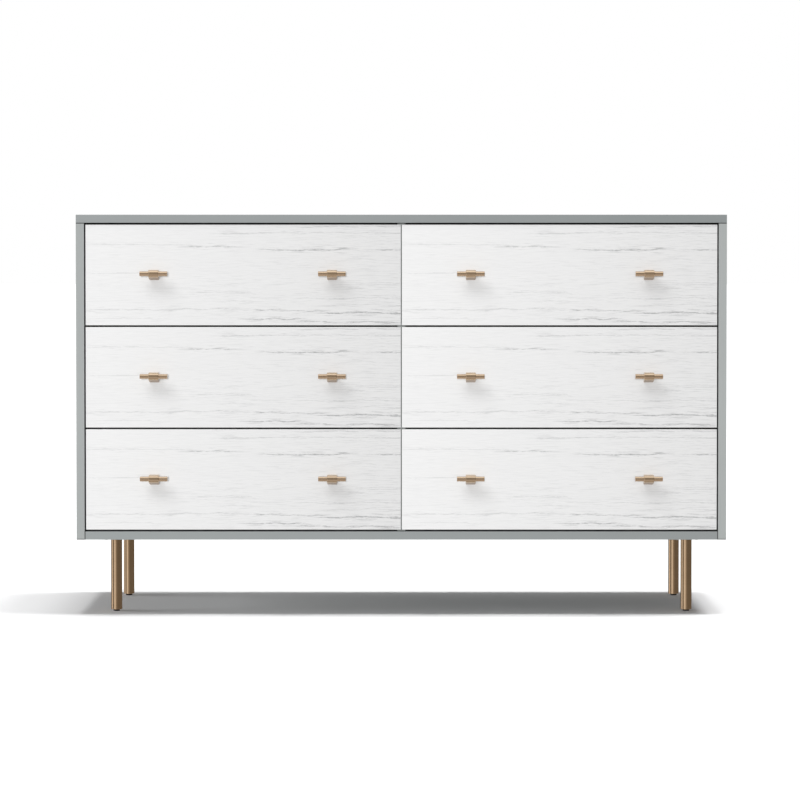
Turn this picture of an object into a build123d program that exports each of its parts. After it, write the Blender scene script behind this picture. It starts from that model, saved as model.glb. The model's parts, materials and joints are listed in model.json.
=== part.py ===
from build123d import *
import os

# A six-drawer dresser: a flat-panel case on four tube legs, with two columns of three inset drawers.
# Millimetres, +Z up, front facing -Y. The origin is on the floor, below the middle of the whole
# dresser, knobs included. Left and right are as seen by someone who stands in front of it.

# ---- Case ----
case_width = 1440.0
case_depth = 480.0
case_height = 720.0
case_lift = 166.0              # floor to the underside of the case
board_thickness = 18.0
back_thickness = 5.0
back_lip = 9.0                 # how far the back panel reaches into the rebates of the top and sides
back_clearance = 0.5           # between the back panel's edges and the rebates

# ---- Drawer fronts ----
column_names = ("left", "right")
row_names = ("lower", "middle", "upper")
front_thickness = 18.0
front_recess = 4.0             # the fronts stand this far behind the front edges of the case
front_side_gap = 3.0           # between a front and the side panel
front_centre_gap = 2.5         # between the two fronts of a row
front_row_gap = 4.0            # above and below each front
divider_setback = 1.5          # between the backs of the fronts and the centre divider

# ---- Drawer boxes ----
box_board = 12.0
box_length = 405.0             # from the back of the front to the end of the box
box_height = 170.0
box_rise = 14.0                # lower edge of the box above the lower edge of the front
base_thickness = 5.0
groove_depth = 6.0
groove_rise = 10.0             # lower edge of the groove above the lower edge of the box
groove_clearance = 0.2

# ---- Ball-bearing runners, three nested channels on each side of a drawer ----
runner_length = 400.0
runner_setback = 3.0           # behind the backs of the fronts
runner_space = 12.7            # between the case wall and the drawer box
runner_sheet = 1.2
ball_gap = 2.8                 # room for the balls between two nested channels
cabinet_channel_height = 45.0
cabinet_channel_depth = 9.5
middle_channel_start = 2.6     # distances from the case wall
middle_channel_end = 11.0
drawer_channel_start = 5.0

# ---- T-bar knobs ----
knob_inset = 152.0             # knob centre from the end of the front
knob_bar_radius = 5.5
knob_bar_length = 61.0
knob_bar_reach = 24.0          # axis of the bar in front of the drawer front
knob_bar_chamfer = 0.5
knob_nose_radius = 8.4         # round end of the post, concentric with the bar
knob_post_width = 22.0
knob_post_height = 22.4        # at the foot, which is centred on the screw
knob_foot_thickness = 1.0
knob_fit = 0.02                # round the bar and the screw
knob_screw_radius = 2.0
knob_screw_bite = 12.0         # how far the screw goes into the post
knob_screw_hole_radius = 2.5   # through the drawer front
knob_screw_head_radius = 4.0
knob_screw_head_height = 2.4

# ---- Legs ----
leg_side_inset = 82.0          # leg axis from the side of the case
leg_end_inset = 76.0           # leg axis from the front edges and from the back of the case
leg_radius = 12.5
leg_wall = 1.5
leg_plate_size = 60.0
leg_plate_thickness = 3.0
leg_screw_offset = 21.0        # screw axis from the leg axis, both ways
leg_screw_radius = 2.0
leg_screw_bite = 14.0          # into the bottom panel
leg_screw_hole_radius = 2.25
leg_screw_head_radius = 4.0
leg_screw_head_height = 2.2
insert_height = 18.0           # threaded insert in the foot of each tube

# ---- Levelling glides ----
glide_radius = 7.5
glide_height = 4.0
glide_stem_radius = 4.0
glide_stem_length = 24.0
glide_stem_clearance = 0.05
glide_chamfer = 0.8

# ---- Places worked out from the sizes ----
knob_overhang = knob_bar_reach + knob_nose_radius - front_recess
case_front = (knob_overhang - case_depth) / 2
case_back = case_front + case_depth
case_left = -case_width / 2
case_right = case_width / 2
case_bottom = case_lift
case_top = case_lift + case_height
inside_left = case_left + board_thickness
inside_right = case_right - board_thickness
inside_bottom = case_bottom + board_thickness
inside_top = case_top - board_thickness
back_face = case_back - back_thickness

front_face = case_front + front_recess
front_rear = front_face + front_thickness
front_width = (inside_right - inside_left - 2 * front_side_gap - front_centre_gap) / 2
front_height = (inside_top - inside_bottom - (len(row_names) + 1) * front_row_gap) / len(row_names)
divider_half = board_thickness / 2

box_end = front_rear + box_length
runner_start = front_rear + runner_setback
runner_end = runner_start + runner_length
runner_rise = box_rise + box_height / 2
cabinet_half = cabinet_channel_height / 2
middle_half = cabinet_half - runner_sheet - ball_gap
drawer_half = middle_half - runner_sheet - ball_gap

knob_bar_rise = knob_post_height / 2 - knob_nose_radius

leg_x = case_width / 2 - leg_side_inset
leg_places = {
    "front_left": (-leg_x, case_front + leg_end_inset),
    "front_right": (leg_x, case_front + leg_end_inset),
    "back_left": (-leg_x, case_back - leg_end_inset),
    "back_right": (leg_x, case_back - leg_end_inset),
}


def block(x, y, z):
    """A block that fills the space between the two values of each pair."""
    pairs = (x, y, z)
    corner = [min(pair) for pair in pairs]
    size = [abs(pair[1] - pair[0]) for pair in pairs]
    return Pos(*corner) * Box(*size, align=(Align.MIN, Align.MIN, Align.MIN))


def rod_up(radius, x, y, z):
    """A round rod along Z, between the two values of z."""
    length = z[1] - z[0]
    return Pos(x, y, z[0]) * Cylinder(radius, length, align=(Align.CENTER, Align.CENTER, Align.MIN))


def rod_forward(radius, x, y, z):
    """A round rod along Y, between the two values of y."""
    length = y[1] - y[0]
    rod = Cylinder(radius, length, align=(Align.CENTER, Align.CENTER, Align.MAX))
    return Pos(x, y[0], z) * Rot(X=90) * rod


# ---- Case panels ----


def back_pocket():
    """The space that the back panel and its clearance take up in the top and sides."""
    reach = back_lip + back_clearance
    return block(
        (inside_left - reach, inside_right + reach),
        (back_face, case_back),
        (case_bottom, inside_top + reach),
    )


def top_panel():
    panel = block((case_left, case_right), (case_front, case_back), (inside_top, case_top))
    return panel - back_pocket()


def side_panel(outer, inner):
    panel = block((outer, inner), (case_front, case_back), (case_bottom, inside_top))
    return panel - back_pocket()


def leg_screw_places():
    """The axis of each leg screw, four round every leg."""
    offsets = (-leg_screw_offset, leg_screw_offset)
    return [(x + dx, y + dy) for x, y in leg_places.values() for dx in offsets for dy in offsets]


def bottom_panel():
    panel = block((inside_left, inside_right), (case_front, back_face), (case_bottom, inside_bottom))
    for x, y in leg_screw_places():
        panel -= rod_up(leg_screw_radius, x, y, (case_bottom, case_bottom + leg_screw_bite))
    return panel


def centre_divider():
    return block(
        (-divider_half, divider_half),
        (front_rear + divider_setback, back_face),
        (inside_bottom, inside_top),
    )


def back_panel():
    return block(
        (inside_left - back_lip, inside_right + back_lip),
        (back_face, case_back),
        (case_bottom, inside_top + back_lip),
    )


# ---- Runners ----


def channel(wall, inward, web, tip, half_height, z):
    """One C-section member of a runner. wall is the case wall's x and inward is +1 or -1, away from
    that wall. web and tip are the distances from the wall to the channel's back and to its open side."""
    opening = 1 if tip > web else -1
    hollow_start = web + opening * runner_sheet
    hollow_half = half_height - runner_sheet
    y = (runner_start, runner_end)
    outer = block(
        (wall + inward * web, wall + inward * tip), y, (z - half_height, z + half_height)
    )
    hollow = block(
        (wall + inward * hollow_start, wall + inward * tip), y, (z - hollow_half, z + hollow_half)
    )
    return outer - hollow


def runner_walls(column):
    """The two case walls beside a column of drawers, each with the direction into the opening."""
    if column == "left":
        return ((inside_left, 1), (-divider_half, -1))
    return ((divider_half, 1), (inside_right, -1))


def front_bottom(row):
    """The height of the lower edge of a row's drawer fronts."""
    return inside_bottom + front_row_gap + row_names.index(row) * (front_height + front_row_gap)


def runner_members(column, row, web, tip, half_height):
    """The same member of a drawer's two runners."""
    z = front_bottom(row) + runner_rise
    return [channel(wall, inward, web, tip, half_height, z) for wall, inward in runner_walls(column)]


def cabinet_runners():
    members = []
    for column in column_names:
        for row in row_names:
            members += runner_members(column, row, 0, cabinet_channel_depth, cabinet_half)
    return members


def middle_runners(column, row):
    return runner_members(column, row, middle_channel_start, middle_channel_end, middle_half)


def drawer_runners(column, row):
    return runner_members(column, row, runner_space, drawer_channel_start, drawer_half)


# ---- Drawers ----


def front_ends(column):
    """The x of the two ends of a column's drawer fronts."""
    if column == "left":
        start = inside_left + front_side_gap
    else:
        start = inside_right - front_side_gap - front_width
    return (start, start + front_width)


def box_sides_x(column):
    """The x of the two outer faces of a column's drawer boxes."""
    (left_wall, _), (right_wall, _) = runner_walls(column)
    return (left_wall + runner_space, right_wall - runner_space)


def box_bottom(row):
    return front_bottom(row) + box_rise


def base_groove(column, row):
    """The space in the sides and the front that the drawer's base slides into."""
    left, right = box_sides_x(column)
    reach = box_board - groove_depth
    floor = box_bottom(row) + groove_rise
    return block(
        (left + reach, right - reach),
        (front_rear - groove_depth, box_end),
        (floor, floor + base_thickness + groove_clearance),
    )


def knob_places(column, row):
    """The x and z of a drawer's two knob screws."""
    left, right = front_ends(column)
    z = front_bottom(row) + front_height / 2
    return ((left + knob_inset, z), (right - knob_inset, z))


def drawer_front(column, row):
    bottom = front_bottom(row)
    front = block(front_ends(column), (front_face, front_rear), (bottom, bottom + front_height))
    front -= base_groove(column, row)
    for x, z in knob_places(column, row):
        front -= rod_forward(knob_screw_hole_radius, x, (front_face, front_rear), z)
    return front


def drawer_sides(column, row):
    left, right = box_sides_x(column)
    bottom = box_bottom(row)
    sides = []
    for x in ((left, left + box_board), (right - box_board, right)):
        side = block(x, (front_rear, box_end), (bottom, bottom + box_height))
        sides.append(side - base_groove(column, row))
    return sides


def drawer_back(column, row):
    """The back of the box, which stands on the base between the two sides."""
    left, right = box_sides_x(column)
    bottom = box_bottom(row)
    base_top = bottom + groove_rise + base_thickness
    return block(
        (left + box_board, right - box_board),
        (box_end - box_board, box_end),
        (base_top, bottom + box_height),
    )


def drawer_base(column, row):
    left, right = box_sides_x(column)
    reach = box_board - groove_depth + groove_clearance
    floor = box_bottom(row) + groove_rise
    return block(
        (left + reach, right - reach),
        (front_rear - groove_depth + groove_clearance, box_end),
        (floor, floor + base_thickness),
    )


def knob_post(x, z):
    """The cast post: a flat foot on the drawer front that narrows to a round nose about the bar."""
    foot = Pos(-knob_foot_thickness / 2, 0) * Rectangle(knob_foot_thickness, knob_post_height)
    nose = Pos(-knob_bar_reach, knob_bar_rise) * Circle(knob_nose_radius)
    outline = make_hull(foot.edges() + nose.edges())
    post = Pos(x, front_face, z) * extrude(Plane.YZ * outline, knob_post_width / 2, both=True)
    post -= knob_bar(x, z, knob_bar_radius + knob_fit, knob_post_width)
    screw_end = front_face - knob_screw_bite
    return post - rod_forward(knob_screw_radius + knob_fit, x, (screw_end, front_face), z)


def knob_bar(x, z, radius, length):
    """A round rod along X, on the axis of the bar of the knob whose screw is at x and z."""
    centre = Pos(x, front_face - knob_bar_reach, z + knob_bar_rise)
    return centre * Rot(Y=90) * Cylinder(radius, length)


def knob_screw(x, z):
    shank = rod_forward(knob_screw_radius, x, (front_face - knob_screw_bite, front_rear), z)
    head_end = front_rear + knob_screw_head_height
    return shank + rod_forward(knob_screw_head_radius, x, (front_rear, head_end), z)


def knobs(column, row):
    """Both knobs of a drawer, each a post, a bar through it and a screw from inside the drawer."""
    pieces = []
    for x, z in knob_places(column, row):
        bar = knob_bar(x, z, knob_bar_radius, knob_bar_length)
        rims = bar.edges().filter_by(GeomType.CIRCLE)
        pieces += [knob_post(x, z), chamfer(rims, knob_bar_chamfer), knob_screw(x, z)]
    return pieces


# ---- Legs ----


def leg(x, y):
    """A round tube welded to a square plate that screws to the underside of the case."""
    plate_bottom = case_bottom - leg_plate_thickness
    half = leg_plate_size / 2
    plate = block((x - half, x + half), (y - half, y + half), (plate_bottom, case_bottom))
    tube = rod_up(leg_radius, x, y, (glide_height, plate_bottom))
    tube -= rod_up(leg_radius - leg_wall, x, y, (glide_height, plate_bottom))
    welded = plate + tube
    for dx in (-leg_screw_offset, leg_screw_offset):
        for dy in (-leg_screw_offset, leg_screw_offset):
            welded -= rod_up(leg_screw_hole_radius, x + dx, y + dy, (plate_bottom, case_bottom))
    return welded


def leg_screws():
    screws = []
    plate_bottom = case_bottom - leg_plate_thickness
    for x, y in leg_screw_places():
        shank = rod_up(leg_screw_radius, x, y, (plate_bottom, case_bottom + leg_screw_bite))
        head = rod_up(leg_screw_head_radius, x, y, (plate_bottom - leg_screw_head_height, plate_bottom))
        screws.append(shank + head)
    return screws


def leg_inserts():
    """The threaded insert in the foot of each tube."""
    inserts = []
    z = (glide_height, glide_height + insert_height)
    for x, y in leg_places.values():
        plug = rod_up(leg_radius - leg_wall, x, y, z)
        inserts.append(plug - rod_up(glide_stem_radius + glide_stem_clearance, x, y, z))
    return inserts


def glide(x, y):
    """A levelling glide, screwed right in: its pad rests against the foot of the tube."""
    pad = rod_up(glide_radius, x, y, (0, glide_height))
    pad = chamfer(pad.edges().group_by(Axis.Z)[0], glide_chamfer)
    return pad + rod_up(glide_stem_radius, x, y, (glide_height, glide_height + glide_stem_length))


# ---- Every node ----

nodes = {
    "top_panel": top_panel(),
    "side_panel_left": side_panel(case_left, inside_left),
    "side_panel_right": side_panel(case_right, inside_right),
    "bottom_panel": bottom_panel(),
    "centre_divider": centre_divider(),
    "back_panel": back_panel(),
    "cabinet_runners": cabinet_runners(),
    "leg_screws": leg_screws(),
    "leg_inserts": leg_inserts(),
}
for place, (x, y) in leg_places.items():
    nodes[f"leg_{place}"] = leg(x, y)
    nodes[f"glide_{place}"] = glide(x, y)
for column in column_names:
    for row in row_names:
        nodes[f"{column}_{row}_front"] = drawer_front(column, row)
        nodes[f"{column}_{row}_sides"] = drawer_sides(column, row)
        nodes[f"{column}_{row}_back"] = drawer_back(column, row)
        nodes[f"{column}_{row}_base"] = drawer_base(column, row)
        nodes[f"{column}_{row}_knobs"] = knobs(column, row)
        nodes[f"{column}_{row}_drawer_runners"] = drawer_runners(column, row)
        nodes[f"{column}_{row}_middle_runners"] = middle_runners(column, row)

os.makedirs("parts", exist_ok=True)
for name, shape in nodes.items():
    if isinstance(shape, list):
        shape = Compound(shape)
    export_step(shape, f"parts/{name}.step")
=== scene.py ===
# %% [markdown]
# # A six-drawer dresser
# The dresser is a flat-panel case in satin grey lacquer, with six whitewashed drawer fronts, T-bar
# knobs and tube legs in champagne bronze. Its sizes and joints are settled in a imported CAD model,
# which this lesson loads as a fixed frame. Blender only adds what an engineer's model leaves out:
# eased edges, turned and cast hardware, grain, brushing and lacquer.
#
# Everything is in metres, +Z up, and the drawers face -Y.

# %% Load the frame
import json
import math

import bmesh
import bpy
from mathutils import Matrix, Vector

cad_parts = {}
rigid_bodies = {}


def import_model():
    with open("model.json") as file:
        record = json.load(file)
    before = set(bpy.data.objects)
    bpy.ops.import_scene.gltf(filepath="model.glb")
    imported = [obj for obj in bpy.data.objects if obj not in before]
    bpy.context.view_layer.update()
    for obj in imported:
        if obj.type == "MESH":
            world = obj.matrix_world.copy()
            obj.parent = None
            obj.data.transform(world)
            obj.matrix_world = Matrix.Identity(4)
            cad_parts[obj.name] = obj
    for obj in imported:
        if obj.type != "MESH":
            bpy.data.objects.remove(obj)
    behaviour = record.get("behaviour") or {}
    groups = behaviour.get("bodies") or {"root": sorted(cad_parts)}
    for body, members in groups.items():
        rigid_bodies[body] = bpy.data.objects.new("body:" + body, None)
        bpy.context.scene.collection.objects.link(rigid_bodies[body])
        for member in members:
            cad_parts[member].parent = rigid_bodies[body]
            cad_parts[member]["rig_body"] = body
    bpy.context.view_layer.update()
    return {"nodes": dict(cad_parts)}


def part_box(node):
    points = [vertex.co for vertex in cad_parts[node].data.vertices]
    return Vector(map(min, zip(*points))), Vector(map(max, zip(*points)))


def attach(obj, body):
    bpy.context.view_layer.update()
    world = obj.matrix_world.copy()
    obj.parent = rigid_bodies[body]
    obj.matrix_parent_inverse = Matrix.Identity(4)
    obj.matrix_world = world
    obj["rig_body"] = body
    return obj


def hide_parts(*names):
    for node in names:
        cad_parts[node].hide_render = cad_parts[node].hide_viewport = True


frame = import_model()

MM = 0.001
columns = ("left", "right")
rows = ("lower", "middle", "upper")
drawers = [f"{column}_{row}" for column in columns for row in rows]
leg_places = ("front_left", "front_right", "back_left", "back_right")

# %% [markdown]
# ## The camera
# A product picture of low, wide furniture is taken from far away with a long lens, so that the
# sides of the case stay upright and parallel. The camera stands a little lower than the top, square
# to the front, and looks down by a degree and a half. A small vertical shift puts the case in the
# middle of the frame without tilting the camera further, as a view camera's rising front does.

# %% Place the camera
camera_place = Vector((-0.003, -7.280, 0.796))
camera_tilt = math.radians(1.52)
camera_lens = 143.5
camera_rise = -0.075
sensor_width = 36
farthest_seen = 200


def add_to_scene(name, data):
    """A new object with that data, linked to the scene."""
    thing = bpy.data.objects.new(name, data)
    bpy.context.scene.collection.objects.link(thing)
    return thing


camera_data = bpy.data.cameras.new("camera")
camera_data.sensor_width = sensor_width
camera_data.lens = camera_lens
camera_data.shift_y = camera_rise
camera_data.clip_end = farthest_seen
camera = add_to_scene("camera", camera_data)
camera.location = camera_place
camera.rotation_euler = (math.pi / 2 - camera_tilt, 0, 0)
bpy.context.scene.camera = camera
fronts_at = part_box("left_upper_front")[0].y
print("camera stands", round(fronts_at - camera_place.y, 2), "m in front of the drawers")

# %% [markdown]
# ## Short words for shader nodes
# A finish is a graph of nodes. Written out in full, each node takes four or five lines, and the
# idea of the finish drowns in them. Two small classes add a node in one call: Graph works on any
# graph, and Finish on one material's. An input is a plain value or another node's output. Numbers
# that are the same all over a surface are set straight on the shader's own sockets, because an
# exported model keeps only those.


# %% A class for finishes
class Graph:
    """A graph of nodes, and short ways to add to it."""

    def __init__(self, tree):
        self.tree = tree

    def node(self, kind, inputs, output=0, **settings):
        """Adds a node and gives back one of its outputs."""
        made = self.tree.nodes.new("ShaderNode" + kind)
        for name, value in settings.items():
            setattr(made, name, value)
        for socket, value in inputs.items():
            if isinstance(value, bpy.types.NodeSocket):
                self.tree.links.new(value, made.inputs[socket])
            else:
                made.inputs[socket].default_value = value
        return made.outputs[output]

    def along(self, vector, axis):
        return self.node("SeparateXYZ", {0: vector}, "XYZ".index(axis))

    def maths(self, operation, first, second=0.0):
        return self.node("Math", {0: first, 1: second}, operation=operation)

    def sum(self, first, second):
        return self.maths("ADD", first, second)

    def product(self, first, second):
        return self.maths("MULTIPLY", first, second)

    def ramp(self, value, start, end, low=0.0, high=1.0, smooth=False):
        """Turns a value between start and end into one between low and high, held at both ends."""
        values = {"Value": value, "From Min": start, "From Max": end, "To Min": low, "To Max": high}
        kind = "SMOOTHSTEP" if smooth else "LINEAR"
        return self.node("MapRange", values, "Result", interpolation_type=kind)

    def mixed(self, share, first, second):
        """A colour between two others. Each is (red, green, blue) or another node's output."""
        inputs = {0: share}
        for socket, tone in ((6, first), (7, second)):
            inputs[socket] = (*tone, 1) if isinstance(tone, tuple) else tone
        return self.node("Mix", inputs, 2, data_type="RGBA")


class Finish(Graph):
    """A material, its shader, and short ways to add the patterns that drive it."""

    def __init__(self, name, slot, **shader_values):
        self.material = bpy.data.materials.new(name)
        self.material.use_nodes = True
        self.slot = slot
        super().__init__(self.material.node_tree)
        self.shader = self.tree.nodes["Principled BSDF"]
        for socket, value in shader_values.items():
            self.shader.inputs[socket.replace("_", " ")].default_value = value
        self.place = self.node("TexCoord", {}, "Object")

    def at(self, axis):
        """How far a point lies from the piece's own origin along an axis, in metres."""
        return self.along(self.place, axis)

    def noise(self, waves, detail=2.0, roughness=0.5, distortion=0.0):
        """Noise with so many waves per metre, or with a number for each axis to draw it out."""
        vector = self.place
        if isinstance(waves, tuple):
            vector = self.node("VectorMath", {0: vector, 1: waves}, operation="MULTIPLY")
            waves = 1.0
        values = {"Vector": vector, "Scale": waves, "Detail": detail}
        values.update({"Roughness": roughness, "Distortion": distortion})
        return self.node("TexNoise", values, "Fac")

    def worn_and_lit(self):
        """1 on the rounded edges of a board and 0 on its faces."""
        return self.node("Attribute", {}, "Fac", attribute_name="arris")

    def drive(self, colour, roughness, relief, depth):
        """Links the patterns to the shader. Relief of that depth, in metres, tilts the light."""
        bump = {"Height": relief, "Distance": depth, "Strength": 1.0}
        normal = self.node("Bump", bump, "Normal")
        for socket, value in (("Base Color", colour), ("Roughness", roughness), ("Normal", normal)):
            self.tree.links.new(value, self.shader.inputs[socket])
        return self


print("a finish is one material and the nodes that drive it")

# %% [markdown]
# ## Grey lacquer
# The case is board, sprayed with a satin grey lacquer that leans a little to green. Sprayed lacquer
# is never one even tone: it drifts slowly over a board, it has a fine ripple known as orange peel,
# and it is thinner on the edges. The edges are paler, partly from wear and partly from a painted
# highlight. The upright boards are a shade lighter than the level ones. The level ones darken
# slowly towards the right, which is painted shade, as if the light fell off away from the left. So
# the finish is a function with two tones.
#
# Where the end of one board butts against another, the joint is a narrow groove that lies in shade.
# That shade is painted: the butted ends get a thin dark line, at a given distance from the middle.


# %% Mix the grey lacquer
joint_line = 1.7 * MM
joint_softness = 0.4 * MM
painted_joint_shade = (0.03, 0.032, 0.032)
worn_and_lit_grey = (0.8, 0.82, 0.81)
black = (0.0, 0.0, 0.0)
peel_depth = 0.03 * MM


def lacquer(name, left_tone, right_tone, joint_axis, joint_at, half_width=0.72):
    finish = Finish(name, "grey_lacquer", Specular_IOR_Level=0.45)
    # Painted shade: the level boards darken towards the right.
    shade_to_the_right = finish.ramp(finish.at("X"), -half_width, half_width)
    base = finish.mixed(shade_to_the_right, left_tone, right_tone)
    cloud = finish.noise((2.2, 5.0, 5.0), detail=3)
    darker = finish.mixed(finish.ramp(cloud, 0.3, 0.7, 0.0, 0.05), base, black)
    # Paler edges: partly wear, partly a painted highlight.
    edge_noise = finish.noise((60, 60, 60), detail=3)
    wear_and_highlight = finish.product(finish.worn_and_lit(), finish.ramp(edge_noise, 0.35, 0.65, 0.02, 0.12))
    worn_and_lit = finish.mixed(wear_and_highlight, darker, worn_and_lit_grey)
    # Painted shade in the joint at the butted ends.
    reach = finish.maths("ABSOLUTE", finish.at(joint_axis))
    line = joint_at - joint_line
    joint = finish.ramp(reach, line - joint_softness, line, 0.0, 0.92)
    colour = finish.mixed(joint, worn_and_lit, painted_joint_shade)
    peel = finish.noise(420, detail=2, roughness=0.6)
    rough = finish.ramp(finish.noise(24, detail=4), 0.3, 0.7, 0.36, 0.47)
    return finish.drive(colour, rough, peel, peel_depth)


def box_size(node):
    low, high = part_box(node)
    return high - low


no_joint = 9.0
side_end = box_size("side_panel_left").z / 2
bottom_end = box_size("bottom_panel").x / 2
upright = (0.398, 0.420, 0.415)
top_left, top_right = (0.336, 0.356, 0.358), (0.262, 0.283, 0.285)
bottom_left, bottom_right = (0.335, 0.358, 0.358), (0.290, 0.308, 0.309)
upright_lacquer = lacquer("upright_lacquer", upright, upright, "Z", side_end)
top_lacquer = lacquer("top_lacquer", top_left, top_right, "X", no_joint)
bottom_lacquer = lacquer("bottom_lacquer", bottom_left, bottom_right, "X", bottom_end)
print("joint lines", round(side_end, 4), "and", round(bottom_end, 4), "m from the middle")

# %% [markdown]
# ## Painted hardboard
# The back panel is thin hardboard, painted grey in the factory. It's duller than the lacquer, and
# the pressed fibres show through the paint as fine flecks.


# %% Paint the hardboard
flat_paint = (0.27, 0.285, 0.282)
fleck_paint = (0.34, 0.355, 0.35)
patch_paint = (0.2, 0.21, 0.205)
fibre_depth = 0.08 * MM


def hardboard():
    finish = Finish("painted_hardboard", "grey_hardboard", Specular_IOR_Level=0.3)
    fibres = finish.noise((260, 260, 420), detail=4, roughness=0.7)
    patches = finish.noise(5, detail=3)
    flecked = finish.mixed(finish.ramp(fibres, 0.42, 0.68), flat_paint, fleck_paint)
    shade = finish.ramp(patches, 0.3, 0.7, 0.0, 0.12)
    colour = finish.mixed(shade, flecked, patch_paint)
    rough = finish.ramp(fibres, 0.3, 0.7, 0.62, 0.8)
    return finish.drive(colour, rough, fibres, fibre_depth)


painted_hardboard = hardboard()
print("hardboard", painted_hardboard.material.name)

# %% [markdown]
# ## Whitewashed wood
# The drawer fronts are white, with the grain of the wood showing through as thin cool grey lines.
# All six fronts have the same figure. So the pattern is measured from each front's own middle, and
# not from the room, and each front gets it again.
#
# The figure has three layers. Fine hairs, long and thin, cover the board and thicken towards the
# right and towards the foot. Fainter threads, thinner still, fill the board. Then come the few
# strong lines that the eye picks out, each at its own height: they wander a little, break up, fade
# at both ends, and gather hairs around them. A loop makes them from a short list, in millimetres
# down from the top edge and in from the left end.

# %% List the strong grain lines
# Each is (down, from, to, strength, thickness).
grain_lines = (
    (4, 470, 698, 0.45, 1.9),
    (19, 290, 698, 0.50, 1.2),
    (44, 0, 230, 0.34, 1.2),
    (49, 220, 335, 0.70, 2.0),
    (55, 395, 590, 0.95, 1.5),
    (56, 630, 698, 0.90, 1.5),
    (79, 640, 690, 0.30, 1.0),
    (107, 0, 125, 0.36, 1.2),
    (132, 560, 698, 0.30, 1.0),
    (142, 592, 616, 0.70, 1.5),
    (149, 240, 380, 0.34, 1.0),
    (163, 470, 698, 0.42, 1.3),
    (170, 300, 400, 0.30, 1.0),
    (178, 520, 698, 0.34, 1.2),
    (188, 0, 210, 0.45, 1.4),
    (186, 180, 345, 0.50, 1.2),
    (188, 360, 430, 0.90, 1.7),
    (191, 420, 540, 0.72, 1.3),
    (195, 520, 698, 1.00, 1.9),
    (208, 20, 180, 0.30, 1.2),
    (209, 350, 482, 0.90, 1.5),
    (215, 470, 560, 0.85, 1.5),
    (216, 570, 698, 0.85, 1.5),
)
grain_fade = 20 * MM
grain_halo = 9 * MM
print("strong grain lines", len(grain_lines))


# %% Whitewash the fronts
white_left = (0.862, 0.862, 0.862)
white_right = (0.750, 0.749, 0.748)
grain_grey = (0.21, 0.215, 0.22)
worn_and_lit_white = (0.97, 0.97, 0.965)
wander_reach = 4.0 * MM
grain_depth = 0.12 * MM


def strong_lines(finish, across, level, width):
    """The strong lines, and the halo in which hairs gather round them."""

    def fade(at, before, after):
        return finish.ramp(across, at * MM - grain_fade, at * MM + grain_fade, before, after)

    lines = 0.0
    halos = 0.0
    for drop, start, end, strength, thickness in grain_lines:
        off = finish.maths("ABSOLUTE", finish.maths("SUBTRACT", level, drop * MM))
        shown = fade(start, 0, strength)
        if end * MM < width:
            shown = finish.product(shown, fade(end, 1, 0))
        line = finish.product(shown, finish.ramp(off, 0, thickness * MM, 1, 0, smooth=True))
        halo = finish.product(shown, finish.ramp(off, 0, grain_halo, 1, 0))
        lines = finish.maths("MAXIMUM", lines, line)
        halos = finish.maths("MAXIMUM", halos, halo)
    return lines, halos


def whitewash(width, height):
    finish = Finish("whitewashed_wood", "whitewashed_wood", Specular_IOR_Level=0.35)
    across = finish.sum(finish.at("X"), width / 2)
    down = finish.ramp(finish.at("Z"), -height / 2, height / 2, height, 0)

    wander = finish.noise((13, 0, 30), detail=4, roughness=0.65)
    level = finish.sum(down, finish.ramp(wander, 0.2, 0.8, -wander_reach, wander_reach))
    broken = finish.noise((70, 70, 420), detail=3, roughness=0.8)
    strong, around = strong_lines(finish, across, level, width)
    strong = finish.product(strong, finish.ramp(broken, 0.36, 0.54, 0.0, 1.0))

    hairs = finish.noise((20, 20, 430), detail=5, roughness=0.75, distortion=0.5)
    right = finish.ramp(across, 0.10, width, 0.25, 1.0)
    low = finish.ramp(down, 0.02, height, 0.55, 1.0)
    bands = finish.noise((3, 3, 34), detail=2)
    dense = finish.product(finish.product(right, low), finish.ramp(bands, 0.35, 0.6, 0.15, 0.75))
    dense = finish.sum(dense, finish.product(around, 0.9))
    fine = finish.product(finish.ramp(hairs, 0.52, 0.61), dense)
    threads = finish.noise((30, 30, 900), detail=2, roughness=0.6)
    figure = finish.maths("MAXIMUM", finish.product(strong, 0.80), finish.product(fine, 0.46))
    figure = finish.sum(figure, finish.product(finish.ramp(threads, 0.4, 0.7), 0.06))

    paint = finish.mixed(finish.ramp(across, 0, width), white_left, white_right)
    colour = finish.mixed(figure, paint, grain_grey)
    # The eased edges are mixed towards a paler white: partly wear, partly a painted highlight.
    edge_noise = finish.noise((80, 80, 80), detail=3)
    wear_and_highlight = finish.product(finish.worn_and_lit(), finish.ramp(edge_noise, 0.35, 0.65, 0.6, 0.95))
    colour = finish.mixed(wear_and_highlight, colour, worn_and_lit_white)
    rough = finish.ramp(hairs, 0.3, 0.75, 0.46, 0.62)
    relief = finish.ramp(finish.sum(figure, finish.product(hairs, 0.3)), 0, 1, 1, 0)
    return finish.drive(colour, rough, relief, grain_depth)


front_size = box_size("left_upper_front")
whitewashed_wood = whitewash(front_size.x, front_size.z)
print("a front is", [round(edge / MM, 1) for edge in front_size], "mm")

# %% [markdown]
# ## Drawer box wood
# The boxes behind the fronts are pale birch ply, sealed with a clear matt coat. Its faces show a
# quiet straight grain. Its cut edges show the plies, light and dark in turn, stacked through the
# board's thickness. The pattern needs two directions for each board: the one that the grain runs
# along, and the one that the plies are stacked along.


# %% Stain the drawer box wood
birch_pale = (0.66, 0.52, 0.36)
birch_dark = (0.50, 0.36, 0.22)
cross_ply = (0.30, 0.19, 0.11)
pore_brown = (0.34, 0.23, 0.14)
ply_count = 7
pore_depth = 0.04 * MM


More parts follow.
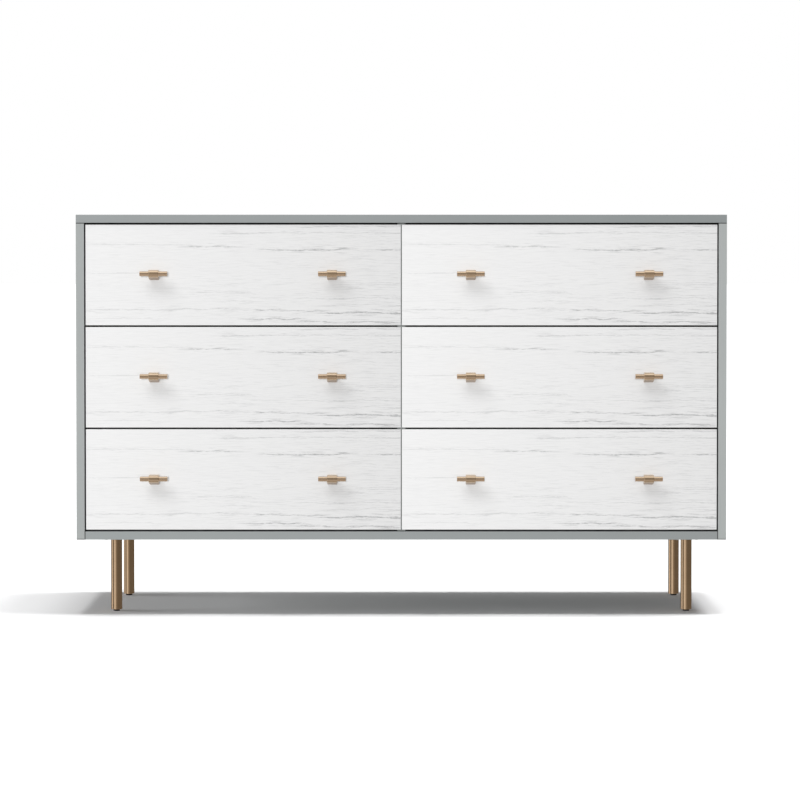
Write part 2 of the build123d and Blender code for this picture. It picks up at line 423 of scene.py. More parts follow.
def birch(name, grain, stack, thickness):
    finish = Finish(name, "drawer_box_wood", Specular_IOR_Level=0.35)
    waves = [8 if axis == grain else 160 for axis in "XYZ"]
    waves["XYZ".index(stack)] = 20
    pore_waves = [40 if axis == grain else 1500 for axis in "XYZ"]
    figure = finish.noise(tuple(waves), detail=4, roughness=0.6, distortion=0.4)
    pores = finish.noise(tuple(pore_waves), detail=2)
    face = finish.mixed(finish.ramp(figure, 0.3, 0.72), birch_pale, birch_dark)
    depth = finish.ramp(finish.at(stack), -thickness / 2, thickness / 2, 0, ply_count)
    ply = finish.maths("MODULO", finish.maths("FLOOR", depth), 2.0)
    colour = finish.mixed(finish.product(ply, 0.55), face, cross_ply)
    flecks = finish.ramp(pores, 0.6, 0.8, 0.0, 0.35)
    colour = finish.mixed(flecks, colour, pore_brown)
    rough = finish.ramp(figure, 0.3, 0.7, 0.48, 0.6)
    return finish.drive(colour, rough, pores, pore_depth)


box_board = 12 * MM
base_board = 5 * MM
side_birch = birch("side_birch", "Y", "X", box_board)
back_birch = birch("back_birch", "X", "Y", box_board)
base_birch = birch("base_birch", "X", "Z", base_board)
print("birch boards", box_board / MM, "and", base_board / MM, "mm thick")

# %% [markdown]
# ## Champagne bronze
# Knobs and legs are metal, brushed with a fine grit, plated a pale brown bronze and lacquered. A
# metal has no colour of its own in the shade, only what it reflects, tinted. So the base colour is
# the tint, and everything else is gloss: hairlines of roughness, a highlight stretched across them,
# and a thin clear coat. Bars and tubes are polished while they turn, so their hairlines are rings
# about local Z, and a highlight stretches along the piece but stays sharp across it. Knobs are
# handled and cleaned, so their plate is a little paler than the legs'. The underside of a knob's
# post is rougher, and its colour is darkened there with painted shade.


# %% Plate the bronze
shaded_bronze = (0.36, 0.22, 0.10)
dull_bronze = (0.46, 0.32, 0.19)
painted_underside_shade = (0.36, 0.25, 0.165)
underside_shade_fade = 2 * MM
hairline_depth = 0.008 * MM


def bronze(name, waves, stretch, tint, shaded_below=None):
    finish = Finish(
        name,
        "champagne_bronze",
        Metallic=1.0,
        Anisotropic=stretch,
        Anisotropic_Rotation=0.25,
        Coat_Weight=0.2,
        Coat_Roughness=0.12,
    )
    lines = finish.noise(waves, detail=3, roughness=0.7)
    cloud = finish.noise(30, detail=3)
    warm = finish.mixed(finish.ramp(cloud, 0.3, 0.7, 0.0, 0.14), tint, shaded_bronze)
    plated = finish.mixed(finish.ramp(lines, 0.35, 0.7, 0.0, 0.2), warm, dull_bronze)
    rough = finish.ramp(lines, 0.3, 0.7, 0.15, 0.24)
    # Painted shade: below a given height the post's colour is darkened, and it is rougher there.
    if shaded_below:
        height = finish.at("Z")
        shaded_underside = finish.ramp(height, shaded_below - underside_shade_fade, shaded_below, 0.85, 0)
        plated = finish.mixed(shaded_underside, plated, painted_underside_shade)
        rough = finish.sum(rough, finish.product(shaded_underside, 0.2))
    return finish.drive(plated, rough, lines, hairline_depth)


ring_waves = (60, 60, 1800)
grit_waves = (700, 700, 700)
tube_bronze = bronze("tube_bronze", ring_waves, 0.6, (0.62, 0.44, 0.275))
bar_bronze = bronze("bar_bronze", ring_waves, 0.6, (0.70, 0.53, 0.37))
cast_bronze = bronze("cast_bronze", grit_waves, 0.0, (0.68, 0.52, 0.36), -7 * MM)
print("bronzes", [finish.material.name for finish in (tube_bronze, bar_bronze, cast_bronze)])

# %% [markdown]
# ## Zinc-plated steel
# Runners, screws and the inserts in the feet are steel under bright zinc. Zinc is a cool grey with
# a faint spangle, and the rolled sheet has streaks along the rolling direction.


# %% Plate the steel
zinc_pale = (0.66, 0.67, 0.68)
zinc_dark = (0.50, 0.52, 0.55)
rolled_depth = 0.02 * MM


def zinc():
    finish = Finish("zinc_plated_steel", "zinc_plated_steel", Metallic=1.0)
    rolled = finish.noise((900, 14, 900), detail=3)
    spangle = finish.node("TexVoronoi", {"Vector": finish.place, "Scale": 240.0}, "Color")
    tone = finish.ramp(finish.along(spangle, "X"), 0, 1, 0.0, 0.28)
    colour = finish.mixed(tone, zinc_pale, zinc_dark)
    rough = finish.ramp(rolled, 0.3, 0.7, 0.26, 0.42)
    return finish.drive(colour, rough, rolled, rolled_depth)


zinc_steel = zinc()
print("steel", zinc_steel.material.name)

# %% [markdown]
# ## Black nylon
# The glides under the legs are moulded nylon. It's nearly black, with a soft sheen and a fine
# sparked texture from the mould, and it greys where it rubs on the floor.


# %% Mould the nylon
nylon_black = (0.010, 0.010, 0.011)
scuff_grey = (0.05, 0.05, 0.05)
scuff_height = 1.2 * MM
spark_depth = 0.04 * MM


def nylon():
    finish = Finish("black_nylon", "black_nylon", Specular_IOR_Level=0.25)
    grain = finish.noise(1600, detail=3)
    low = finish.ramp(finish.at("Z"), 0, scuff_height, 0.35, 0.0)
    scuffed = finish.product(low, finish.ramp(finish.noise(500), 0.4, 0.65))
    colour = finish.mixed(scuffed, nylon_black, scuff_grey)
    rough = finish.ramp(grain, 0.3, 0.7, 0.42, 0.6)
    return finish.drive(colour, rough, grain, spark_depth)


black_nylon = nylon()
print("nylon", black_nylon.material.name)

# %% [markdown]
# ## Pieces
# A piece is a mesh that rides on one body of the frame, so that it moves when that body does. Most
# pieces stand for a node of the frame, which is then hidden. A mesh is made round its own origin
# and the object is put in place, because patterns start from that origin. The weighted-normal
# modifier keeps big faces flat and lets only the rounded edges catch the light.


# %% Put a mesh on a body
no_turn = (0, 0, 0)
smallest_edge = 0.002 * MM
sharp_from = math.radians(40)


def add_piece(name, mesh, finish, node, at, turn=no_turn):
    """A piece that stands for a node, takes a finish, and rides on the node's body."""
    if not mesh.materials:
        mesh.materials.append(finish.material)
    piece = add_to_scene(name, mesh)
    piece.location = at
    piece.rotation_euler = turn
    flat = piece.modifiers.new("flat_faces", "WEIGHTED_NORMAL")
    flat.keep_sharp = True
    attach(piece, frame["nodes"][node]["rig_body"])
    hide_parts(node)
    return piece


def editable(mesh):
    """A copy of a mesh's geometry, to edit."""
    work = bmesh.new()
    work.from_mesh(mesh)
    return work


def to_mesh(work, name):
    """Turns edited geometry into a smooth-shaded mesh that keeps its sharp corners."""
    bmesh.ops.dissolve_degenerate(work, dist=smallest_edge, edges=work.edges[:])
    bmesh.ops.recalc_face_normals(work, faces=work.faces)
    mesh = bpy.data.meshes.new(name)
    work.to_mesh(mesh)
    work.free()
    for layer in ("custom_normal", "sharp_edge", "sharp_face"):
        if layer in mesh.attributes:
            mesh.attributes.remove(mesh.attributes[layer])
    mesh.shade_smooth()
    mesh.set_sharp_from_angle(angle=sharp_from)
    return mesh


# %% [markdown]
# ## Boards with eased edges
# No board leaves a workshop with knife-sharp edges. The frame's boards have the right size, rebates
# and holes, but they're made of triangles with sharp edges. So each board starts from its node's
# own mesh: the triangles of one flat face are merged into one face, and the outer edges are rounded
# by a fraction of a millimetre. The new narrow faces are marked in a layer named arris, and the
# finishes read it to make the edges paler: partly wear, partly a painted highlight. Inner corners,
# as in a rebate, stay sharp.


# %% Ease the edges of a node's boards
same_point = 0.001 * MM
flat_within = math.radians(1)
corner_from = math.radians(30)


def eased_mesh(node, ease, centre):
    work = editable(frame["nodes"][node].data)
    for layer in list(work.loops.layers.uv.values()):
        work.loops.layers.uv.remove(layer)
    arris = work.faces.layers.float.new("arris")
    bmesh.ops.remove_doubles(work, verts=work.verts, dist=same_point)
    bmesh.ops.dissolve_limit(
        work, angle_limit=flat_within, verts=work.verts[:], edges=work.edges[:]
    )
    outer = [
        edge
        for edge in work.edges
        if edge.is_manifold and edge.is_convex and edge.calc_face_angle() > corner_from
    ]
    rounded_off = bmesh.ops.bevel(
        work, geom=outer, offset=ease, segments=2, profile=0.5, affect="EDGES"
    )
    for face in rounded_off["faces"]:
        face[arris] = 1.0
    bmesh.ops.translate(work, vec=-centre, verts=work.verts[:])
    return to_mesh(work, node)


def eased_piece(node, finish, ease):
    low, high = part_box(node)
    centre = (low + high) / 2
    return add_piece(node + "_eased", eased_mesh(node, ease, centre), finish, node, at=centre)


case_ease = 0.7 * MM
case_boards = {
    "top_panel": top_lacquer,
    "bottom_panel": bottom_lacquer,
    "side_panel_left": upright_lacquer,
    "side_panel_right": upright_lacquer,
    "centre_divider": upright_lacquer,
    "back_panel": painted_hardboard,
}
for node, finish in case_boards.items():
    board = eased_piece(node, finish, case_ease)
    print(board.name, "faces", len(board.data.polygons))

# %% [markdown]
# ## Drawers
# A drawer is a front and a box: two sides, a back and a thin base that slides in a groove. The
# front has the same eased edges as the case. The two sides share one node, but their plies are
# measured from the middle of each board, so the node is split and each side becomes a piece.

# %% Build the drawers
front_ease = 0.6 * MM
box_ease = 0.8 * MM
base_ease = 0.3 * MM


def split_boards(node, finish, ease, names):
    """Makes one piece of each of the two boards in a node, the left one first."""
    mesh = eased_mesh(node, ease, Vector((0, 0, 0)))
    middle = sum(corner.co.x for corner in mesh.vertices) / len(mesh.vertices)
    for name, keep_left in zip(names, (True, False)):
        work = editable(mesh)
        other = [corner for corner in work.verts if (corner.co.x < middle) != keep_left]
        bmesh.ops.delete(work, geom=other, context="VERTS")
        spans = [[corner.co[axis] for corner in work.verts] for axis in range(3)]
        centre = Vector([(min(span) + max(span)) / 2 for span in spans])
        bmesh.ops.translate(work, vec=-centre, verts=work.verts[:])
        add_piece(name, to_mesh(work, name), finish, node, at=centre)
    bpy.data.meshes.remove(mesh)


for drawer in drawers:
    eased_piece(drawer + "_front", whitewashed_wood, front_ease)
    side_names = (drawer + "_side_on_the_left", drawer + "_side_on_the_right")
    split_boards(drawer + "_sides", side_birch, box_ease, side_names)
    eased_piece(drawer + "_back", back_birch, box_ease)
    eased_piece(drawer + "_base", base_birch, base_ease)
print("drawers", len(drawers))

# %% [markdown]
# ## Runners
# Each side of a drawer runs on three nested channels of folded steel. Folding sheet leaves a small
# round on the outside of each bend, which the same easing gives.

# %% Fold the runners
sheet_ease = 0.35 * MM
eased_piece("cabinet_runners", zinc_steel, sheet_ease)
for drawer in drawers:
    eased_piece(drawer + "_drawer_runners", zinc_steel, sheet_ease)
    eased_piece(drawer + "_middle_runners", zinc_steel, sheet_ease)
print("runner members", 3 * 2 * len(drawers))

# %% [markdown]
# ## Turning
# Bars, tubes, pads and screws are all turned: one outline, spun about an axis. A lathe function
# takes the outline as points of radius and height. A second function rounds the corners of an
# outline, so that a chamfer or a soft rim is one number beside its corner.


# %% Round an outline's corners
def rounded(corners, steps=3, closed=False):
    """Turns (x, y, radius) corners into points, with an arc at each corner that has a radius."""
    points = []
    for index, (x, y, radius) in enumerate(corners):
        here = Vector((x, y))
        at_end = index in (0, len(corners) - 1) and not closed
        if radius == 0 or at_end:
            points.append(here)
            continue
        before = (Vector(corners[index - 1][:2]) - here).normalized()
        after = (Vector(corners[(index + 1) % len(corners)][:2]) - here).normalized()
        half = before.angle(after) / 2
        start = here + before * (radius / math.tan(half))
        centre = here + (before + after).normalized() * (radius / math.sin(half))
        arm = start - centre
        side = 1 if before.x * after.y - before.y * after.x < 0 else -1
        sweep = side * (math.pi - 2 * half)
        for step in range(steps + 1):
            turn = Matrix.Rotation(sweep * step / steps, 2)
            points.append(centre + turn @ arm)
    return points


rounded_square = rounded([(0, 0, 1), (9, 0, 1), (9, 9, 1), (0, 9, 1)], closed=True)
print("a rounded square has", len(rounded_square), "points")


# %% Turn an outline on a lathe
lathe_steps = 48


def turned(name, outline, steps=lathe_steps, closed=False, ripple=None):
    """Spins (radius, height) points about Z. ripple(height, angle) is added to the radius."""
    work = bmesh.new()
    rings = []
    for radius, height in outline:
        if radius < same_point:
            rings.append([work.verts.new((0, 0, height))])
            continue
        ring = []
        for step in range(steps):
            angle = 2 * math.pi * step / steps
            reach = radius + (ripple(height, angle) if ripple else 0)
            ring.append(work.verts.new((reach * math.cos(angle), reach * math.sin(angle), height)))
        rings.append(ring)
    pairs = list(zip(rings, rings[1:]))
    if closed:
        pairs.append((rings[-1], rings[0]))
    for lower, upper in pairs:
        for step in range(steps):
            following = (step + 1) % steps
            quad = [
                lower[step % len(lower)],
                lower[following % len(lower)],
                upper[following % len(upper)],
                upper[step % len(upper)],
            ]
            corners = list(dict.fromkeys(quad))
            if len(corners) > 2:
                work.faces.new(corners)
    return to_mesh(work, name)


print("the lathe spins an outline in", lathe_steps, "steps")

# %% [markdown]
# ## Knobs
# A knob is three pieces. The bar is turned from rod, and its ends are broken with a small chamfer.
# The post is a casting: from the side it's a flat foot that runs forward, level along the top and
# rising underneath, into a round nose about the bar. It gets a little narrower towards the foot,
# and all its rims are soft. A pan-head screw holds it from inside the drawer.
#
# The post's side is drawn as a ring of faces between the hole for the bar and the outer outline, so
# the hole is a real hole. The outline follows from the nose's radius and the foot's height.

# %% The sizes of a knob
bar_radius = 5.5 * MM
bar_length = 61 * MM
bar_reach = 24 * MM
bar_chamfer = 0.55 * MM
nose_radius = 8.4 * MM
foot_height = 22.4 * MM
post_width = 22 * MM
post_taper = 0.07
post_rim = 0.9 * MM
bar_fit = 0.02 * MM
bar_rise = foot_height / 2 - nose_radius
print("the bar sits", round(bar_rise / MM, 2), "mm above the screw")


# %% Turn the bar
def bar_mesh():
    half = bar_length / 2
    outline = [
        (0, -half, 0),
        (bar_radius, -half, bar_chamfer),
        (bar_radius, half, bar_chamfer),
        (0, half, 0),
    ]
    return turned("knob_bar", rounded(outline, steps=4), steps=64)


knob_bar = bar_mesh()
print("bar faces", len(knob_bar.polygons))


# %% Cast the post
nose_steps = 28
side_steps = 4


def post_outline():
    """Points round the post's side, as (forward, up) from the bar's axis."""
    corner = Vector((-bar_reach, -bar_rise - foot_height / 2))
    lean = math.atan2(corner.y, corner.x) + math.acos(nose_radius / corner.length)
    top = math.pi / 2
    points = []
    for step in range(nose_steps + 1):
        angle = top + (lean - top) * step / nose_steps
        points.append(nose_radius * Vector((math.cos(angle), math.sin(angle))))
    upper = Vector((-bar_reach, nose_radius))
    for first, last in ((points[-1], corner), (corner, upper), (upper, points[0])):
        points += [first.lerp(last, step / side_steps) for step in range(1, side_steps + 1)]
    return points[:-1]


def post_mesh():
    outline = post_outline()
    hole = [point.normalized() * (bar_radius + bar_fit) for point in outline]
    work = bmesh.new()
    arris = work.faces.layers.float.new("arris")
    rings = []
    for x in (-post_width / 2, post_width / 2):
        for points in (outline, hole):
            rings.append([work.verts.new((x, -point.x, point.y)) for point in points])
    left, left_hole, right, right_hole = rings
    order = (left, left_hole, right_hole, right, left)
    following = [*range(1, len(outline)), 0]
    for first, second in zip(order, order[1:]):
        for index, after in enumerate(following):
            work.faces.new((first[index], first[after], second[after], second[index]))
    rims = [
        work.edges.get((ring[index], ring[after]))
        for ring in (left, right)
        for index, after in enumerate(following)
    ]
    soft = bmesh.ops.bevel(
        work, geom=rims, offset=post_rim, segments=3, profile=0.5, affect="EDGES"
    )
    for face in soft["faces"]:
        face[arris] = 1.0
    for corner in work.verts:
        corner.co.x *= 1 - post_taper * max(0.0, corner.co.y / bar_reach)
    return to_mesh(work, "knob_post")


knob_post = post_mesh()
print("post outline points", len(post_outline()), "faces", len(knob_post.polygons))

# %% [markdown]
# ## Screws
# A pan-head screw is a turned outline too: a low domed head, a short plain neck and a thread. The
# thread is a ripple on the radius that climbs by one pitch in each turn. The cross in the head is
# cut with a tapered cross-shaped tool, as a punch would press it.


# %% Turn a screw
rings_per_turn = 5
screw_tip = 0.4 * MM
head_rim = 0.2 * MM
head_dome = 1.2 * MM


def thread(pitch, depth, start, end):
    """A ripple for the lathe: a screw thread between two heights."""

    def ripple(height, angle):
        if not start <= height <= end:
            return 0.0
        turns = height / pitch - angle / (2 * math.pi)
        return -depth * abs(2 * (turns - math.floor(turns)) - 1)

    return ripple


def finished_mesh(thing):
    """The mesh of an object, modifier or curve worked out. The object is removed."""
    view = bpy.context.evaluated_depsgraph_get()
    mesh = bpy.data.meshes.new_from_object(thing.evaluated_get(view))
    bpy.data.objects.remove(thing)
    return mesh


def cut(mesh, tool):
    """The mesh with the tool's shape taken out of it."""
    whole = add_to_scene("whole", mesh)
    cutter = add_to_scene("cutter", tool)
    boolean = whole.modifiers.new("cut", "BOOLEAN")
    boolean.operation = "DIFFERENCE"
    boolean.solver = "EXACT"
    boolean.object = cutter
    result = finished_mesh(whole)
    bpy.data.objects.remove(cutter)
    return to_mesh(editable(result), mesh.name)


def cross_tool(reach, arm, top, depth, taper=0.55):
    """A cross-shaped punch that tapers downward from the top."""
    work = bmesh.new()
    quarter = [(reach, -arm), (reach, arm), (arm, arm)]
    rings = []
    for height, share in ((top + depth, 1.0), (top - depth, taper)):
        ring = []
        for turn in range(4):
            spin = Matrix.Rotation(math.pi / 2 * turn, 2)
            for point in quarter:
                x, y = spin @ (Vector(point) * share)
                ring.append(work.verts.new((x, y, height)))
        rings.append(ring)
    upper, lower = rings
    work.faces.new(upper)
    work.faces.new(lower[::-1])
    for index in range(len(upper)):
        after = (index + 1) % len(upper)
        work.faces.new((upper[index], lower[index], lower[after], upper[after]))
    return to_mesh(work, "cross_tool")


def screw_mesh(name, length, threaded, head_radius, head_height, shank_radius, pitch):
    """A screw along Z, with the underside of its head at the origin and its tip below."""
    rings = round(threaded / pitch * rings_per_turn)
    outline = [(0, -length, 0), (shank_radius * 0.75, -length, 0)]
    for step in range(rings + 1):
        outline.append((shank_radius, -length + screw_tip + threaded * step / rings, 0))
    outline += [
        (shank_radius, 0, 0),
        (head_radius, 0, head_rim),
        (head_radius, head_height * 0.55, 0),
        (head_radius * 0.8, head_height, head_dome),
        (0, head_height, 0),
    ]
    ripple = thread(pitch, pitch * 0.45, -length, -length + threaded)
    plain = turned(name, rounded(outline), steps=24, ripple=ripple)
    tool = cross_tool(head_radius * 0.5, head_radius * 0.11, head_height, head_height * 0.6)
    return cut(plain, tool)


knob_screw_head = 2.4 * MM
shank = 2 * MM
knob_screw = screw_mesh("knob_screw", 30 * MM, 12 * MM, 4 * MM, knob_screw_head, shank, 0.7 * MM)
leg_screw = screw_mesh("leg_screw", 17 * MM, 14 * MM, 4 * MM, 2.2 * MM, shank, 1.4 * MM)
print("screw faces", len(knob_screw.polygons), len(leg_screw.polygons))

# %% [markdown]
# ## Fitting the knobs
# Each drawer has two knobs in one node. The node's box gives their places: its ends are the ends of
# the bars, its middle height is the screws' height, and its back is the back of the screw heads.

# %% Fit the knobs
front_thickness = 18 * MM
for drawer in drawers:
    node = drawer + "_knobs"
    low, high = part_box(node)
    screw_height = (low.z + high.z) / 2
    front_rear = high.y - knob_screw_head
    front_face = front_rear - front_thickness
    knob_ends = {"on_the_left": low.x + bar_length / 2, "on_the_right": high.x - bar_length / 2}
    for end, x in knob_ends.items():
        axis = Vector((x, front_face - bar_reach, screw_height + bar_rise))
        seat = Vector((x, front_rear, screw_height))
        knob = (
            ("post", knob_post, cast_bronze, axis, no_turn),
            ("bar", knob_bar, bar_bronze, axis, (0, math.pi / 2, 0)),
            ("screw", knob_screw, zinc_steel, seat, (-math.pi / 2, 0, 0)),
        )
        for part, mesh, finish, at, turn in knob:
            add_piece(f"{drawer}_{part}_{end}", mesh, finish, node, at, turn)
print("knobs", 2 * len(drawers), "with the last bar at", [round(value, 4) for value in axis])

# %% [markdown]
# ## Legs
# A leg is a round tube welded to a square plate, which four screws hold to the underside of the
# case. The tube is turned as a ring outline, so that it's hollow, with a soft lower rim and a small
# weld where it meets the plate. The plate is a flat curve with holes: a filled curve takes every
# inner loop as a hole, and can be given thickness and a soft edge in the same step.

# %% Make the legs
leg_radius = 12.5 * MM
leg_wall = 1.5 * MM
plate_thickness = 3 * MM
plate_corner = 6 * MM
plate_ease = 0.4 * MM
screw_offset = 21 * MM
screw_hole = 2.25 * MM
hole_steps = 24
weld = 1.6 * MM
weld_hollow = 1.2 * MM
outer_rim = 0.6 * MM
inner_rim = 0.4 * MM


def tube_mesh(height):
    outline = [
        (leg_radius - leg_wall, 0, inner_rim),
        (leg_radius, 0, outer_rim),
        (leg_radius, height - weld, weld_hollow),
        (leg_radius + weld, height, 0),
        (leg_radius - leg_wall, height, 0),
    ]
    return turned("leg_tube", rounded(outline, steps=4, closed=True), steps=96, closed=True)


def plate_loops(size):
    """The plate's rounded outline, and a round hole for each screw."""
    half = size / 2
    corners = [(-half, -half), (half, -half), (half, half), (-half, half)]
    loops = [rounded([(x, y, plate_corner) for x, y in corners], steps=8, closed=True)]
    turns = [2 * math.pi * step / hole_steps for step in range(hole_steps)]
    circle = [(screw_hole * math.cos(turn), screw_hole * math.sin(turn)) for turn in turns]
    for x in (-screw_offset, screw_offset):
        for y in (-screw_offset, screw_offset):
            loops.append([Vector((x + right, y + back)) for right, back in circle])
    return loops


def plate_mesh(size):
    curve = bpy.data.curves.new("leg_plate", "CURVE")
    curve.dimensions = "2D"
    curve.fill_mode = "BOTH"
    curve.extrude = plate_thickness / 2 - plate_ease
    curve.bevel_depth = plate_ease
    curve.bevel_resolution = 2
    curve.offset = -plate_ease
    for loop in plate_loops(size):
        spline = curve.splines.new("POLY")
        spline.points.add(len(loop) - 1)
        for point, place in zip(spline.points, loop):
            point.co = (place.x, place.y, 0, 1)
        spline.use_cyclic_u = True
    work = editable(finished_mesh(add_to_scene("leg_plate", curve)))
    bmesh.ops.remove_doubles(work, verts=work.verts, dist=same_point)
    return to_mesh(work, "leg_plate")


leg_size = box_size("leg_front_left")
leg_tube = tube_mesh(leg_size.z - plate_thickness)
leg_plate = plate_mesh(leg_size.x)
for place in leg_places:
    node = "leg_" + place
    low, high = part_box(node)
    centre = (low + high) / 2
    foot = Vector((centre.x, centre.y, low.z))
    plate_middle = Vector((centre.x, centre.y, high.z - plate_thickness / 2))
    add_piece(node + "_tube", leg_tube, tube_bronze, node, at=foot)
    add_piece(node + "_plate", leg_plate, cast_bronze, node, at=plate_middle)
    for number in range(4):
        x = centre.x + screw_offset * (1 if number % 2 else -1)
        y = centre.y + screw_offset * (1 if number > 1 else -1)
        seat = Vector((x, y, high.z - plate_thickness))
        name = f"{node}_screw_{number + 1}"
        add_piece(name, leg_screw, zinc_steel, "leg_screws", at=seat, turn=(math.pi, 0, 0))
print("legs", len(leg_places), "tube", round(leg_size.z / MM), "mm high")

# %% [markdown]
# ## Feet
# A threaded insert is pressed into the foot of each tube, and a levelling glide screws into it: a
# black pad with a threaded stem. A small turn of the glide levels the case on an uneven floor. The
# stem shows only when the glide is screwed out, but then it shows well, so it has a real thread.

# %% Turn the inserts and the glides
stem_radius = 4 * MM
stem_fit = 0.05 * MM
stem_pitch = 1.25 * MM
stem_thread = 0.55 * MM
stem_length = 24 * MM
stem_rings_per_turn = 6
stem_tip = 0.6 * MM
insert_height = 18 * MM
insert_rim = 0.3 * MM
pad_rim = 1.1 * MM
pad_top_rim = 0.5 * MM


def insert_mesh():
    outside = leg_radius - leg_wall
    inside = stem_radius + stem_fit
    outline = [
        (inside, 0, inner_rim),
        (outside, 0, insert_rim),
        (outside, insert_height, insert_rim),
        (inside, insert_height, inner_rim),
    ]
    return turned("leg_insert", rounded(outline, closed=True), closed=True)


def glide_mesh(pad_radius, pad_height):
    top = pad_height + stem_length
    rings = round(stem_length / stem_pitch * stem_rings_per_turn)
    outline = [
        (0, 0, 0),
        (pad_radius, 0, pad_rim),
        (pad_radius, pad_height, pad_top_rim),
        (stem_radius, pad_height, 0),
    ]
    outline += [
        (stem_radius, pad_height + (stem_length - stem_tip) * step / rings, 0)
        for step in range(1, rings + 1)
    ]
    outline += [(stem_radius * 0.85, top, 0), (0, top, 0)]
    ripple = thread(stem_pitch, stem_thread, pad_height + 0.2 * MM, top - 0.7 * MM)
    return turned("glide", rounded(outline, steps=4), ripple=ripple)


glide_size = box_size("glide_front_left")
leg_insert = insert_mesh()
glide = glide_mesh(glide_size.x / 2, glide_size.z - stem_length)
for place in leg_places:
    low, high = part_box("glide_" + place)
    foot = Vector(((low.x + high.x) / 2, (low.y + high.y) / 2, low.z))
    add_piece(f"glide_{place}_turned", glide, black_nylon, "glide_" + place, at=foot)
    insert_foot = foot + Vector((0, 0, high.z - low.z - stem_length))
    add_piece(f"insert_{place}", leg_insert, zinc_steel, "leg_inserts", at=insert_foot)
print("glide faces", len(glide.polygons))

# %% [markdown]
# ## The floor
# The dresser stands on a plain pale floor that runs on until it meets an equally pale background,
# so that no horizon shows. A very faint unevenness keeps it from looking like paper. The floor is
# left out of what the dresser's own surfaces see: the world lights them from below instead.


# %% Lay the floor
pale = (0.94, 0.94, 0.945)
less_pale = (0.92, 0.92, 0.925)
floor_reach = 80


def floor_finish():
    finish = Finish("pale_floor", None, Roughness=0.9, Specular_IOR_Level=0.1)
    colour = finish.mixed(finish.ramp(finish.noise(0.7, detail=3), 0.3, 0.7), pale, less_pale)
    finish.tree.links.new(colour, finish.shader.inputs["Base Color"])
    return finish


floor_work = bmesh.new()
bmesh.ops.create_grid(floor_work, x_segments=8, y_segments=8, size=floor_reach)
floor = add_to_scene("floor", to_mesh(floor_work, "floor"))
floor.data.materials.append(floor_finish().material)
floor.visible_diffuse = False
floor.visible_glossy = False
print("floor", 2 * floor_reach, "m across")

# %% [markdown]
# ## Lamps
# Soft light comes from lamps so far away that they light every part alike. The fill lamp stands
# beside the camera and does most of the work: its shadows fall straight behind the knobs, out of
# sight. The key lamp stands high and to the left, and puts one soft shadow below and to the right
# of each knob. Lamps behind, above and on the right lift the back, the top and the right side.
#
# The floor has lamps of its own. One hangs straight above and keeps the floor pale right up to the
# legs, so that only the space under the case is dark. One leans from the right and draws the shadow
# out to the left, and a low one on the left shines in under that end. All lamps are hidden from
# mirrors, because a metal leg would show each of them as a pale disc.

# %% Hang the lamps
# Each is a direction, an energy and a spread in degrees.
dresser_lamps = {
    "key": ((-0.40, -0.50, 0.77), 1.05, 26),
    "fill": ((-0.04, -1.00, 0.075), 1.73, 8),
    "back": ((0.30, 1.00, 0.50), 1.60, 60),
    "above": ((-0.20, -0.10, 1.00), 0.80, 90),
    "side": ((1.00, 0.12, 0.40), 0.90, 40),
}
floor_lamps = {
    "overhead": ((0.00, 0.03, 1.00), 1.70, 16),
    "leaning": ((0.28, 0.02, 1.00), 1.90, 14),
    "low": ((-1.00, 0.00, 0.22), 2.20, 30),
}
lamp_distance = 6


def hang_lamps(lamps, lit, link_state):
    """Lamps that shine only on what is linked to a collection, or on all but that."""
    receivers = bpy.data.collections.new(lit)
    receivers.objects.link(floor)
    receivers.collection_objects[0].light_linking.link_state = link_state
    for name, (direction, energy, spread) in lamps.items():
        lamp_data = bpy.data.lights.new(name, "SUN")
        lamp_data.energy = energy
        lamp_data.angle = math.radians(spread)
        lamp = add_to_scene(name, lamp_data)
        lamp.rotation_euler = Vector(direction).to_track_quat("Z", "Y").to_euler()
        lamp.location = Vector(direction) * lamp_distance
        lamp.visible_glossy = False
        lamp.light_linking.receiver_collection = receivers
        print(name, "lamp shines from", direction, "on", lit)


hang_lamps(dresser_lamps, "all_but_the_floor", "EXCLUDE")
hang_lamps(floor_lamps, "floor_alone", "INCLUDE")

# %% [markdown]
# ## What metal sees
# What a metal reflects matters more than what lights it. So the world has three faces. Eyes see
# plain white. Dull surfaces see an even white glow, a little stronger from below, where a pale
# floor would send light up. Mirrors see a studio: a pale panel ahead on the left, another straight
# out to the left, a dim one where the camera stands, a broad one overhead, a dim floor and a dark
# wall. A round leg squeezes all of that into upright stripes, and a round bar into level ones.


# %% Paint the world
# Each is the bearings of its sides, in degrees from straight ahead, and a brightness.
mirror_panels = ((-52, -14, 0.75), (-14, 14, 0.16), (-114, -82, 0.8))
soft_edge = 5
wall_brightness = 0.2
ceiling_brightness = 1.1
ground_brightness = 0.3
glow_from_below = 0.34
glow_from_above = 0.24
white = (1, 1, 1, 1)
warm_tint = (1.0, 0.9, 0.8)
cool_tint = (0.97, 1.0, 1.06)


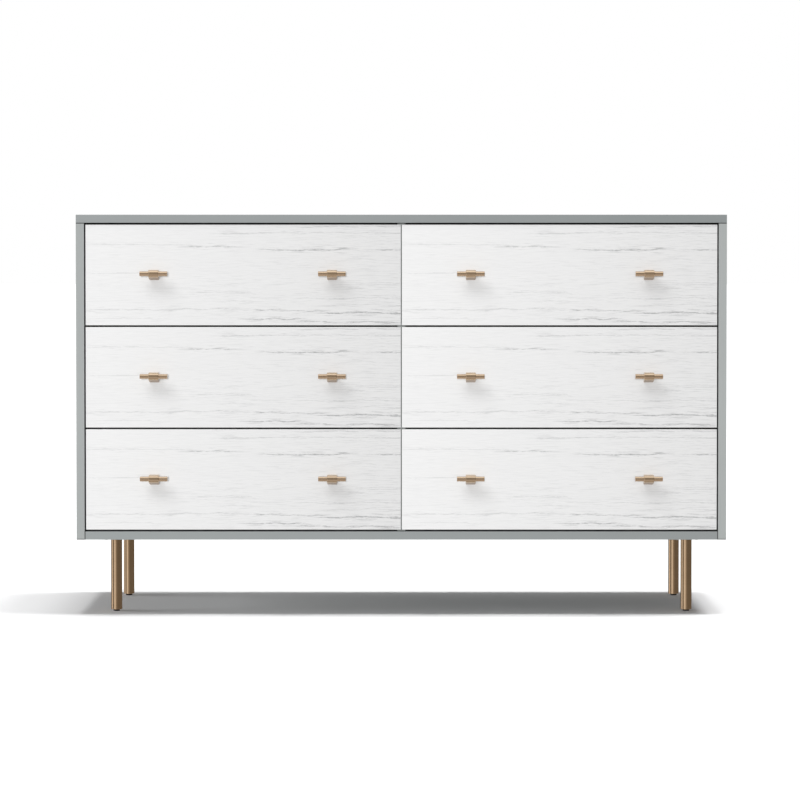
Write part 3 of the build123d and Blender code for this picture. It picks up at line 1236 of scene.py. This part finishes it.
def mirror_glow(world, ray):
    """How bright the studio is, in the direction of a ray from a mirror."""
    ahead = world.product(world.along(ray, "Y"), -1.0)
    up = world.along(ray, "Z")
    bearing = world.maths("ARCTAN2", world.along(ray, "X"), ahead)
    bearing = world.product(bearing, 180 / math.pi)
    glow = 0.0
    for first, last, brightness in mirror_panels:
        rise = world.ramp(bearing, first - soft_edge, first + soft_edge, 0, brightness, smooth=True)
        fall = world.ramp(bearing, last + soft_edge, last - soft_edge, smooth=True)
        glow = world.sum(glow, world.product(rise, fall))
    level = world.ramp(world.maths("ABSOLUTE", up), 0.5, 0.9, smooth=True)
    glow = world.product(glow, world.maths("SUBTRACT", 1.0, level))
    glow = world.sum(glow, world.ramp(up, 0.6, 0.85, 0, ceiling_brightness, smooth=True))
    down = world.product(up, -1.0)
    return world.sum(glow, world.ramp(down, 0.25, 0.6, 0, ground_brightness, smooth=True))


def light_world():
    studio = bpy.data.worlds.new("studio")
    bpy.context.scene.world = studio
    studio.use_nodes = True
    studio.cycles.sampling_method = "NONE"
    world = Graph(studio.node_tree)
    world.tree.nodes.clear()
    ray = world.node("TexCoord", {}, "Generated")
    glow = mirror_glow(world, ray)
    tint = world.mixed(glow, warm_tint, cool_tint)
    even = world.ramp(world.along(ray, "Z"), -0.1, 0.1, glow_from_below, glow_from_above)
    brightness = world.sum(glow, wall_brightness)
    path = world.tree.nodes.new("ShaderNodeLightPath")
    for_dull = world.node("Background", {"Color": white, "Strength": even})
    for_mirrors = world.node("Background", {"Color": tint, "Strength": brightness})
    for_eyes = world.node("Background", {"Color": white, "Strength": 1.0})
    lit = world.node("MixShader", {0: path.outputs["Is Glossy Ray"], 1: for_dull, 2: for_mirrors})
    shown = world.node("MixShader", {0: path.outputs["Is Camera Ray"], 1: lit, 2: for_eyes})
    output = world.tree.nodes.new("ShaderNodeOutputWorld")
    world.tree.links.new(shown, output.inputs["Surface"])


light_world()
print("panels that only metal sees", len(mirror_panels))
bpy.context.scene.view_settings.view_transform = "Standard"
